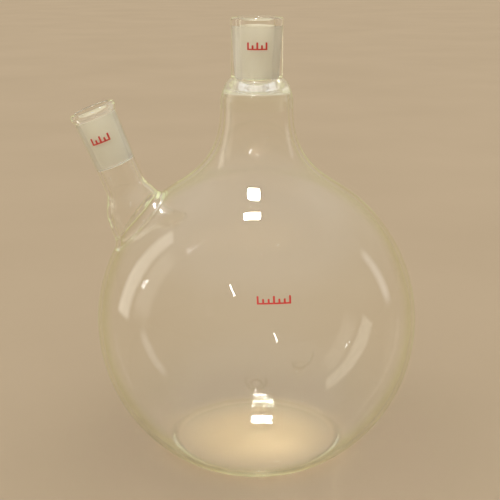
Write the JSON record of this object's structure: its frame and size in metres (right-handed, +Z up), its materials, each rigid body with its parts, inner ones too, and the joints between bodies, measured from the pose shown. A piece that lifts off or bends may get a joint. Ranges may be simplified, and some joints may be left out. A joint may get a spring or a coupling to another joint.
{
  "type": "boiling flask",
  "caption": "Large clear-glass boiling flask with a spherical bulb, flattened base, upright ground-glass neck socket and an angled side-arm socket.",
  "frame": {"origin": "centre of the flat underside, on the bulb's own upright axis", "axes": "+Z up through the centre neck; the side arm leans towards -X in the XZ plane; the printed marks face -Y"},
  "size_m": [0.236, 0.223, 0.304],
  "materials": {
    "clear_glass": "gloss",
    "ground_glass": "satin",
    "mark_enamel": "matte"
  },
  "bodies": {
    "root": {"flask_bulb": "clear_glass", "neck_shoulder_seal": "clear_glass", "centre_joint": "ground_glass", "side_joint": "ground_glass", "side_arm_tube": "clear_glass", "side_arm_foot": "clear_glass", "capacity_mark": "mark_enamel", "centre_joint_mark": "mark_enamel", "side_joint_mark": "mark_enamel"}
  },
  "joints": []
}
